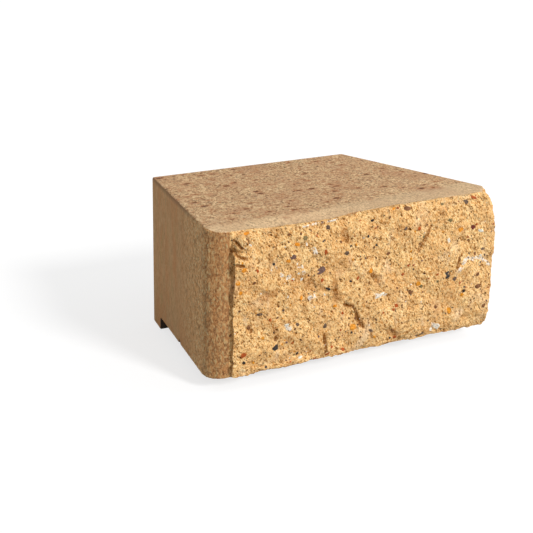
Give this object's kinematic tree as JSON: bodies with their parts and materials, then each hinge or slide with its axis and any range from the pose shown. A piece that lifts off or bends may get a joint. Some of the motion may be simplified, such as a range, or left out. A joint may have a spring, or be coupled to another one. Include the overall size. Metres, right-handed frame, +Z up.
{
  "type": "retaining wall block",
  "caption": "Solid tapered concrete wall block with a split rock face, rounded front corners, smooth sides and a locating lip along the rear bottom edge.",
  "frame": {"origin": "under the middle of the block, level with the foot of the rear lip, which stands on the floor", "axes": "+X along the wall face to the right as seen from in front, +Y from the split face to the rear, +Z up"},
  "size_m": [0.2928, 0.1967, 0.142],
  "materials": {
    "concrete": "sandstone-coloured concrete: rough split front with coloured aggregate, pressed top, smooth moulded sides"
  },
  "bodies": {
    "root": {"wall_block": "concrete"}
  },
  "joints": []
}
